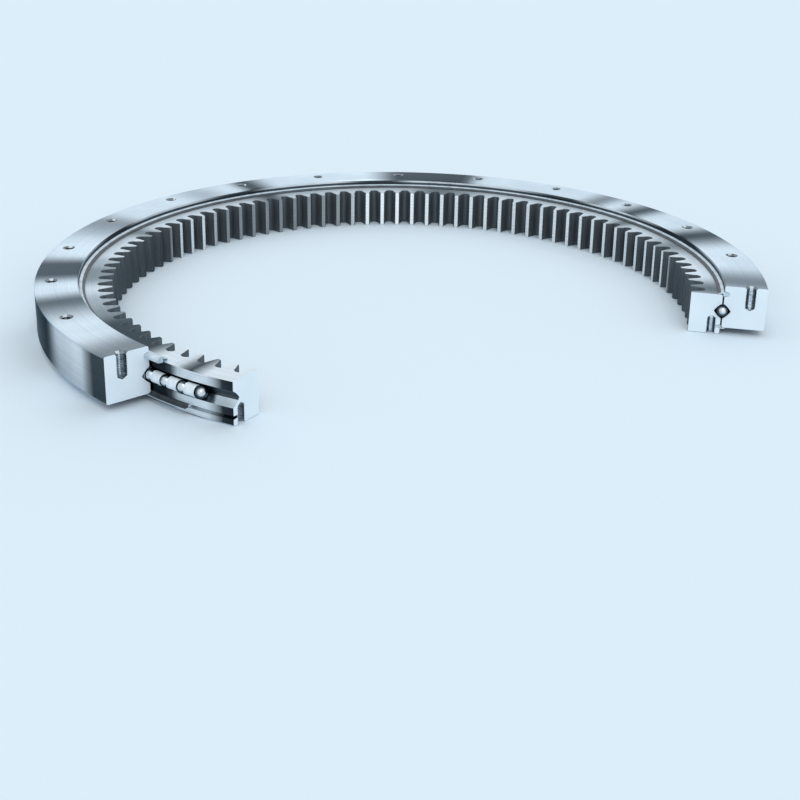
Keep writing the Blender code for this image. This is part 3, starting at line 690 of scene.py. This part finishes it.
def tooth_spaces():
    """All the spaces between the saw cuts, each flared where it meets the top and the base."""
    bm = bmesh.new()
    flare = EDGE_CHAMFER + 1
    levels = [(-1, flare), (EDGE_CHAMFER, 0), (INNER_TOP - EDGE_CHAMFER, 0), (INNER_TOP + 1, flare)]
    rows = [[bm.verts.new(Vector((x, y, z)) * MM) for x, y in space_outline(grown)] for z, grown in levels]
    for low, high in zip(rows, rows[1:]):
        for i in range(len(low)):
            j = (i + 1) % len(low)
            bm.faces.new((low[i], low[j], high[j], high[i]))
    bm.faces.new(rows[0])
    bm.faces.new(rows[-1])
    bmesh.ops.recalc_face_normals(bm, faces=bm.faces)
    first = RIGHT_CUT + TOOTH_PHASE + TOOTH_STEP / 2
    turns = [math.radians(first + TOOTH_STEP * k) for k in range(PITCHES_LEFT)]
    return repeated(bm, [Matrix.Rotation(turn, 4, "Z") for turn in turns])


tip_pitch = math.radians(TOOTH_STEP) * TIP_RADIUS
print("land at a tooth's tip", round(tip_pitch - 2 * space_half_width(TIP_RADIUS), 1), "mm")

# %% Inner ring
inner_section = [
    *points_of(FACE, (INNER_RADIUS - CHAMFER, INNER_TOP)),
    *points_of(SIDE, (INNER_RADIUS, INNER_TOP - CHAMFER)),
    *raceway(-1),
    *points_of(SIDE, (INNER_RADIUS, 12.5), (INNER_RADIUS - SEAL_DEPTH, 11.75)),
    *points_of(SIDE, (INNER_RADIUS - SEAL_DEPTH, 8.75)),
    *points_of(LIP, (INNER_RADIUS, 8.0)),
    *points_of(FACE, (INNER_RADIUS, CHAMFER), (INNER_RADIUS - CHAMFER, 0.0)),
    *points_of(TIP, (TIP_RADIUS, 0.0)),
    *points_of(FACE, (TIP_RADIUS, INNER_TOP)),
]
inner_blank = swept(inner_section, RIGHT_CUT, INNER_CUT + BLANK_PAST_CUT)
inner_ring = piece("toothed_ring", inner_blank, TOOTHED_FINISHES)
shaper = piece("shaper", tooth_spaces(), [shaded_gear_steel])
upside_down = Matrix.Rotation(math.pi, 4, "X")
inner_azimuths = [RIGHT_CUT + HOLE_STEP * k for k in range(INNER_HOLES_LEFT + 1)]
inner_places = [seat(INNER_HOLE_RADIUS, azimuth) @ upside_down for azimuth in inner_azimuths]
drill = thread_cutter(inner_hole, inner_places)
saw = saw_cut("inner_saw", INNER_HOLE_RADIUS, INNER_CUT, INNER_CUT_ANGLE)
cut(inner_ring, [shaper, drill, saw])
dress(inner_ring, "inner_ring", "ring_steel", "inner_ring")

# %% [markdown]
# ## Seals
# Two strips of nitrile rubber keep the grease in and dirt out. Each is pressed into a groove and has a
# thin lip that rubs on the other ring. Extruded rubber is smooth, dark and dull. The crest of the upper
# lip and the tip of the lower one are painted pale as a highlight, which draws a light line round the
# bearing. The strips are swept like the rings, and their cut ends are a little ragged. The upper one
# sticks out past the saw cut, and that end of it is painted pale all over, as a highlight on its top.

# %% Seals
random.seed(7)
UPPER_SEAL_END = OUTER_CUT + 3.6
LOWER_SEAL_END = 237.0
HIGHLIGHT_FROM = OUTER_CUT - 0.6


def seal_rubber(name, light, dark):
    mat, tree, shader = finish(name, Roughness=0.5, IOR=1.52)
    place = add(tree, "TexCoord").outputs["Object"]
    bloom = spots(tree, place, 12 * MM, 4.0)
    tree.links.new(ramp(tree, bloom, [(0.3, dark), (0.7, light)]), shader.inputs["Base Color"])
    relief(tree, shader, bloom, 0.2, 0.1 * MM)
    return mat


rubber = seal_rubber("nitrile_rubber", "4A545B", "343C42")
# Pale rubber: a painted highlight on the lip crests and on the upper strip's end.
highlight_rubber = seal_rubber("painted_highlight_nitrile_rubber", "D2E2EE", "AEBFCB")
DARK, HIGHLIT = range(2)
SEAL_FINISHES = [rubber, highlight_rubber, highlight_rubber]
upper_section = [
    *points_of(DARK, (431.7, 56.7), (426.6, 58.4), (425.7, 58.4)),
    *points_of(HIGHLIT, (425.0, 58.35), (423.8, 58.0), (422.4, 57.5)),
    *points_of(DARK, (421.4, 57.1), (419.4, 56.1), (418.3, 55.4), (418.0, 54.9), (418.1, 54.4)),
    *points_of(DARK, (418.6, 54.3), (420.0, 54.7), (422.0, 55.2), (423.6, 55.2)),
    *points_of(DARK, (424.5, 54.4), (424.6, 52.0)),
    *points_of(DARK, (424.9, 51.6), (425.7, 51.6), (431.7, 53.3))]
lower_section = [
    *points_of(DARK, (418.3, 11.45), (418.3, 9.05), (424.3, 8.3)),
    *points_of(DARK, (424.3, 7.5), (424.6, 7.1), (427.0, 7.3)),
    *points_of(HIGHLIT, (430.4, 7.8), (431.0, 8.2)),
    *points_of(DARK, (430.8, 8.7), (425.4, 8.7), (425.1, 9.0), (425.1, 11.9))]
upper_strip = swept(upper_section, RIGHT_CUT, UPPER_SEAL_END, 0.2)
# Past the saw cut the upper strip takes the pale rubber all over, a painted highlight.
for face in upper_strip.faces:
    middle = face.calc_center_median()
    azimuth = math.degrees(math.atan2(middle.y, middle.x)) % 360
    if HIGHLIGHT_FROM < azimuth < UPPER_SEAL_END + 1:
        face.material_index = SECTION
upper_seal = piece("upper_seal_strip", upper_strip, SEAL_FINISHES)
dress(upper_seal, "outer_ring", "seal_rubber", "upper_seal")
lower_strip = swept(lower_section, RIGHT_CUT, LOWER_SEAL_END, 0.1)
lower_seal = piece("lower_seal_strip", lower_strip, SEAL_FINISHES)
dress(lower_seal, "inner_ring", "seal_rubber", "lower_seal")

# %% [markdown]
# ## Balls
# The balls are 100Cr6, hardened, ground and lapped until they are mirrors. A mirror ball has almost no
# colour of its own: it is bright in the middle and dark round its rim. The shader's specular tint is
# what a metal shows at a grazing angle, so a dark one paints that dark rim of reflection. Each ball is
# painted a bright reflection round a spot where it lies open: away from the ring's axis, and at the ends
# of the row where the saw laid it bare. Beside the cups and in the track it is painted dark, as shade and
# dark reflection, which the distance from the bright spot draws. A faint haze from handling, in spots of
# 3 mm, keeps it from looking like glass.

# %% Balls
DARK_RIM_TINT = srgb("101418")
PAINTED_DARK = srgb("4A535A")
BRIGHT_WITHIN = 3.6 * MM
DARK_BEYOND = 5.4 * MM


def lapped_steel(name, bright_spot):
    """Mirror steel painted bright round a spot and dark away from it, the spot given in millimetres from the
    ball's centre.
    """
    mat, tree, shader = finish(name, Metallic=1.0)
    # A dark specular tint paints a dark rim of reflection.
    shader.inputs["Specular Tint"].default_value = DARK_RIM_TINT
    place = add(tree, "TexCoord").outputs["Object"]
    haze = spots(tree, place, 3 * MM, 2.0)
    bright_steel = ramp(tree, haze, [(0.3, "C3CED6"), (0.7, "E2EBF1")])
    spot = Vector(bright_spot) * MM
    away = add(tree, "VectorMath", [(0, place), (1, spot)], operation="DISTANCE").outputs["Value"]
    darkening = add(tree, "MapRange", [("Value", away), ("From Min", BRIGHT_WITHIN), ("From Max", DARK_BEYOND)])
    sockets = [("Fac", darkening.outputs["Result"]), ("Color1", bright_steel), ("Color2", PAINTED_DARK)]
    tree.links.new(add(tree, "MixRGB", sockets).outputs["Color"], shader.inputs["Base Color"])
    rough = add(tree, "MapRange", [("Value", haze), ("To Min", 0.12), ("To Max", 0.2)])
    tree.links.new(rough.outputs["Result"], shader.inputs["Roughness"])
    return mat


ball_steel = lapped_steel("lapped_100Cr6", (7.0, 2.4, 3))
first_steel = lapped_steel("lapped_100Cr6_first", (0, -7.4, 3))
last_steel = lapped_steel("lapped_100Cr6_last", (5.6, 4.6, 3.3))
END_STEELS = {1: first_steel, BALL_COUNT: last_steel}


def ball_bmesh(segments, rings):
    bm = bmesh.new()
    bmesh.ops.create_uvsphere(bm, u_segments=segments, v_segments=rings, radius=BALL_RADIUS * MM)
    return bm


LAST_HIDDEN = 68
for number in [1, *range(LAST_HIDDEN + 1, BALL_COUNT + 1)]:
    place = seat(ORBIT_RADIUS, RIGHT_CUT + BALL_STEP * (number - 1), ORBIT_HEIGHT)
    steel = END_STEELS.get(number, ball_steel)
    ball = piece(f"lapped_ball_{number:02d}", ball_bmesh(48, 32), [steel], place)
    dress(ball, "ball_row", "ball_steel", f"ball_{number:02d}")

# %% [markdown]
# ## Spacers
# Between two balls lies a short cylinder of natural polyamide with a cup in each end, so that balls
# never rub on balls. It is injection moulded: off-white, softly glossy and slightly translucent. It is
# a spun half outline, with a rounded rim that catches a line of light.

# %% Spacers
def moulded_polyamide():
    mat, tree, shader = finish("natural_polyamide", Roughness=0.42, IOR=1.53, Subsurface_Weight=0.15)
    shader.inputs["Subsurface Radius"].default_value = (0.9 * MM, 0.8 * MM, 0.7 * MM)
    place = add(tree, "TexCoord").outputs["Object"]
    flow = spots(tree, place, 5 * MM, 3.0)
    tree.links.new(ramp(tree, flow, [(0.3, "D3E0E8"), (0.7, "E3EEF4")]), shader.inputs["Base Color"])
    return mat


polyamide = moulded_polyamide()
CUP_RADIUS = BALL_RADIUS + FIT
SPACER_RADIUS = 7.0
SPACER_RIM = SPACER_RADIUS - 0.6
RIM_ROUNDING = 0.25


def cup_height(radius):
    """Height of the cup's wall above the spacer's middle: a sphere about the next ball."""
    return BALL_PITCH / 2 - math.sqrt(CUP_RADIUS ** 2 - radius ** 2)


def spacer_bmesh(sides):
    """Cylinder along Z with a cup in each end."""
    half = cup_height(SPACER_RIM)
    cup = [(radius, cup_height(radius)) for radius in (0, 2, 3.5, 5, SPACER_RIM)]
    end = cup + [(SPACER_RADIUS - RIM_ROUNDING, half), (SPACER_RADIUS, half - RIM_ROUNDING)]
    return spun(end + [(r, -z) for r, z in reversed(end)], sides)


LYING = Matrix.Rotation(math.radians(90), 4, "X")
CHORD = ORBIT_RADIUS * math.cos(math.radians(BALL_STEP / 2))


def spacer_seat(number):
    """Frame between a ball and the next one, on the straight line that joins them."""
    return seat(CHORD, RIGHT_CUT + BALL_STEP * (number - 0.5), ORBIT_HEIGHT) @ LYING


for number in [1, *range(LAST_HIDDEN, BALL_COUNT)]:
    spacer = piece(f"moulded_spacer_{number:02d}", spacer_bmesh(40), [polyamide], spacer_seat(number))
    dress(spacer, "ball_row", "spacer_plastic", f"spacer_{number:02d}")

# %% [markdown]
# The closed part of the rings hides the rest of the row. It is still made of whole balls and spacers,
# with fewer faces, because they can be seen through the gap between the rings from below.

# %% Hidden row
hidden_azimuths = [RIGHT_CUT + BALL_STEP * k for k in range(1, LAST_HIDDEN)]
hidden_balls = [seat(ORBIT_RADIUS, azimuth, ORBIT_HEIGHT) for azimuth in hidden_azimuths]
inside = piece("balls_inside", repeated(ball_bmesh(20, 12), hidden_balls), [ball_steel])
dress(inside, "ball_row", "ball_steel", "ball_row_hidden")
hidden_spacers = [spacer_seat(number) for number in range(2, LAST_HIDDEN)]
inside = piece("spacers_inside", repeated(spacer_bmesh(16), hidden_spacers), [polyamide])
dress(inside, "ball_row", "spacer_plastic", "ball_row_hidden")

# %% [markdown]
# ## Filling plug, taper pin and grease nipples
# After the last ball the filling hole is closed with a plug that is turned, bored and ground together
# with the ring, so it carries its own piece of track. It is cut here from the same section. A taper
# pin holds it from below. The nipples are zinc-plated steel, turned from hexagon bar.

# %% Plug and pin
PLUG_END = OUTER_RADIUS - 2 * FIT
PLUG_WALL = PLUG_RADIUS - FIT
PLUG_CHAMFER = 0.3
plug_blank = swept(outer_section, PLUG_AZIMUTH - 2 * SWEEP_STEP, PLUG_AZIMUTH + 2 * SWEEP_STEP)
plug = piece("ground_plug", plug_blank, WIDE_FINISHES)
body = spun([(0, PLUG_END), (PLUG_WALL - PLUG_CHAMFER, PLUG_END), (PLUG_WALL, PLUG_END - PLUG_CHAMFER),
             (PLUG_WALL, ORBIT_RADIUS), (0, ORBIT_RADIUS)], 40)
cut(plug, [piece("plug_tool", body, [rim_face], from_the_axis(PLUG_AZIMUTH))], "INTERSECT")
cut(plug, [pin_drill()])
dress(plug, "outer_ring", "ring_steel", "filling_plug")


def grained_steel(name, light, dark, roughness):
    """Bright steel with a fine grain, drawn or zinc plated."""
    mat, tree, shader = finish(name, Metallic=1.0, Roughness=roughness)
    place = add(tree, "TexCoord").outputs["Object"]
    grain = spots(tree, place, 1.5 * MM, 3.0)
    tree.links.new(ramp(tree, grain, [(0.3, dark), (0.7, light)]), shader.inputs["Base Color"])
    return mat


pin_steel = grained_steel("drawn_pin_steel", "9DA6AC", "7E878D", 0.35)
pin_outline = [(0, 42.2), (2.9, 42.2), (3.4, 41.8), (3.7, 9.9), (3.3, 9.3), (0, 9.3)]
pin = piece("fitted_pin", spun(pin_outline, 32), [pin_steel], seat(OUTER_HOLE_RADIUS, PLUG_AZIMUTH))
dress(pin, "outer_ring", "pin_steel", "taper_pin")

# %% Grease nipples
nipple_steel = grained_steel("zinc_plated_steel", "D5DCE0", "B4BDC3", 0.22)
HEX_BAND = 4.6
HEX_HALF_WIDTH = 5.15
NIPPLE_PITCH = 1.5


def nipple_bmesh():
    """Shank with thread grooves, hexagon, neck and ball-shaped head in one spun solid, Z outwards.

    The band between shank and neck is spun round and then drawn out to six flats."""
    head = [(0, 10.7), (1.6, 10.7), (2.6, 9.6), (3.2, 8.2), (3.0, 7.0), (2.2, 6.0), (2.2, 4.9), (3.2, 4.3)]
    shank = [(4.7, 0.3)]
    for k in range(7):
        z = -NIPPLE_PITCH * k
        shank += [(4.7, z - 0.2), (4.1, z - 0.8), (4.1, z - 1.0), (4.7, z - NIPPLE_PITCH)]
    bm = spun(head + [(HEX_BAND, 4.3), (HEX_BAND, 0.3)] + shank + [(4.3, -11), (0, -11)], 36)
    sector = math.radians(60)
    for vert in bm.verts:
        if abs(vert.co.xy.length / MM - HEX_BAND) < 0.05:
            turn = (math.atan2(vert.co.y, vert.co.x) + sector / 2) % sector - sector / 2
            vert.co.xy *= HEX_HALF_WIDTH / HEX_BAND / math.cos(turn)
    return bm


for number, azimuth in enumerate(NIPPLE_AZIMUTHS, 1):
    place = seat(OUTER_RADIUS, azimuth, ORBIT_HEIGHT) @ ON_ITS_SIDE
    nipple = piece(f"hexagon_nipple_{number}", nipple_bmesh(), [nipple_steel], place)
    dress(nipple, "outer_ring", "nipple_steel", f"grease_nipple_{number}")

# %% [markdown]
# ## Floor and light
# Metal shows mostly what stands round it. A studio shows it soft boxes with dark gaps between them, and
# here the world does that: its brightness changes with the compass direction, so the cylinders carry
# upright bands, and with the height above the horizon. One wide soft box in front of the ring, about 50
# degrees up, brings the lacquer and the floor to a level at which a colour looks about as it is written.
# The floor lies half a millimetre below the ring, so that the two share no plane.

# %% Floor
FLOOR_HALF_WIDTH = 12
FLOOR_DROP = 0.5 * MM


def plain_floor():
    bm = bmesh.new()
    bmesh.ops.create_grid(bm, x_segments=1, y_segments=1, size=FLOOR_HALF_WIDTH)
    mesh = bpy.data.meshes.new("floor")
    bm.to_mesh(mesh)
    bm.free()
    mat, tree, shader = finish("pale_floor", Roughness=0.9)
    shader.inputs["Base Color"].default_value = srgb("DDEBF5")
    shader.inputs["Specular IOR Level"].default_value = 0.0
    mesh.materials.append(mat)
    floor = bpy.data.objects.new("floor", mesh)
    floor.location.z = -FLOOR_DROP
    bpy.context.scene.collection.objects.link(floor)


plain_floor()

# %% Light
SOFT_BOX_WIDTH = math.radians(30)
SOFT_BOX_STRENGTH = 0.5
STUDIO_STRENGTH = 1.1

soft_box = bpy.data.objects.new("soft_box", bpy.data.lights.new("soft_box", "SUN"))
soft_box.data.energy = SOFT_BOX_STRENGTH
soft_box.data.angle = SOFT_BOX_WIDTH
soft_box.rotation_euler = Vector((-0.1, 0.65, -0.75)).to_track_quat("-Z", "Y").to_euler()
bpy.context.scene.collection.objects.link(soft_box)

world = bpy.data.worlds.new("studio")
world.use_nodes = True
sky = world.node_tree
direction = add(sky, "TexCoord").outputs["Generated"]
compass = add(sky, "TexGradient", [("Vector", direction)], gradient_type="RADIAL").outputs["Fac"]
around = ramp(sky, compass, [
    (0.00, "F6F8F9"), (0.10, "C0C8CE"), (0.17, "F6F8F9"), (0.33, "F6F8F9"), (0.40, "C0C8CE"),
    (0.48, "EEF2F4"), (0.56, "B4BDC4"), (0.64, "FFFFFF"), (0.86, "FFFFFF"), (0.93, "B4BDC4"),
    (1.00, "F6F8F9")])
height = add(sky, "SeparateXYZ", [(0, direction)]).outputs["Z"]
overhead = ramp(sky, height, [(0.0, "FFFFFF"), (0.5, "F6F8F9"), (0.9, "DEE3E7")])
steep = add(sky, "MapRange", [("Value", height), ("From Min", 0.3), ("From Max", 0.7)])
both = add(sky, "MixRGB", [("Fac", steep.outputs["Result"]), ("Color1", around), ("Color2", overhead)])
sky.links.new(both.outputs["Color"], sky.nodes["Background"].inputs["Color"])
sky.nodes["Background"].inputs["Strength"].default_value = STUDIO_STRENGTH
bpy.context.scene.world = world
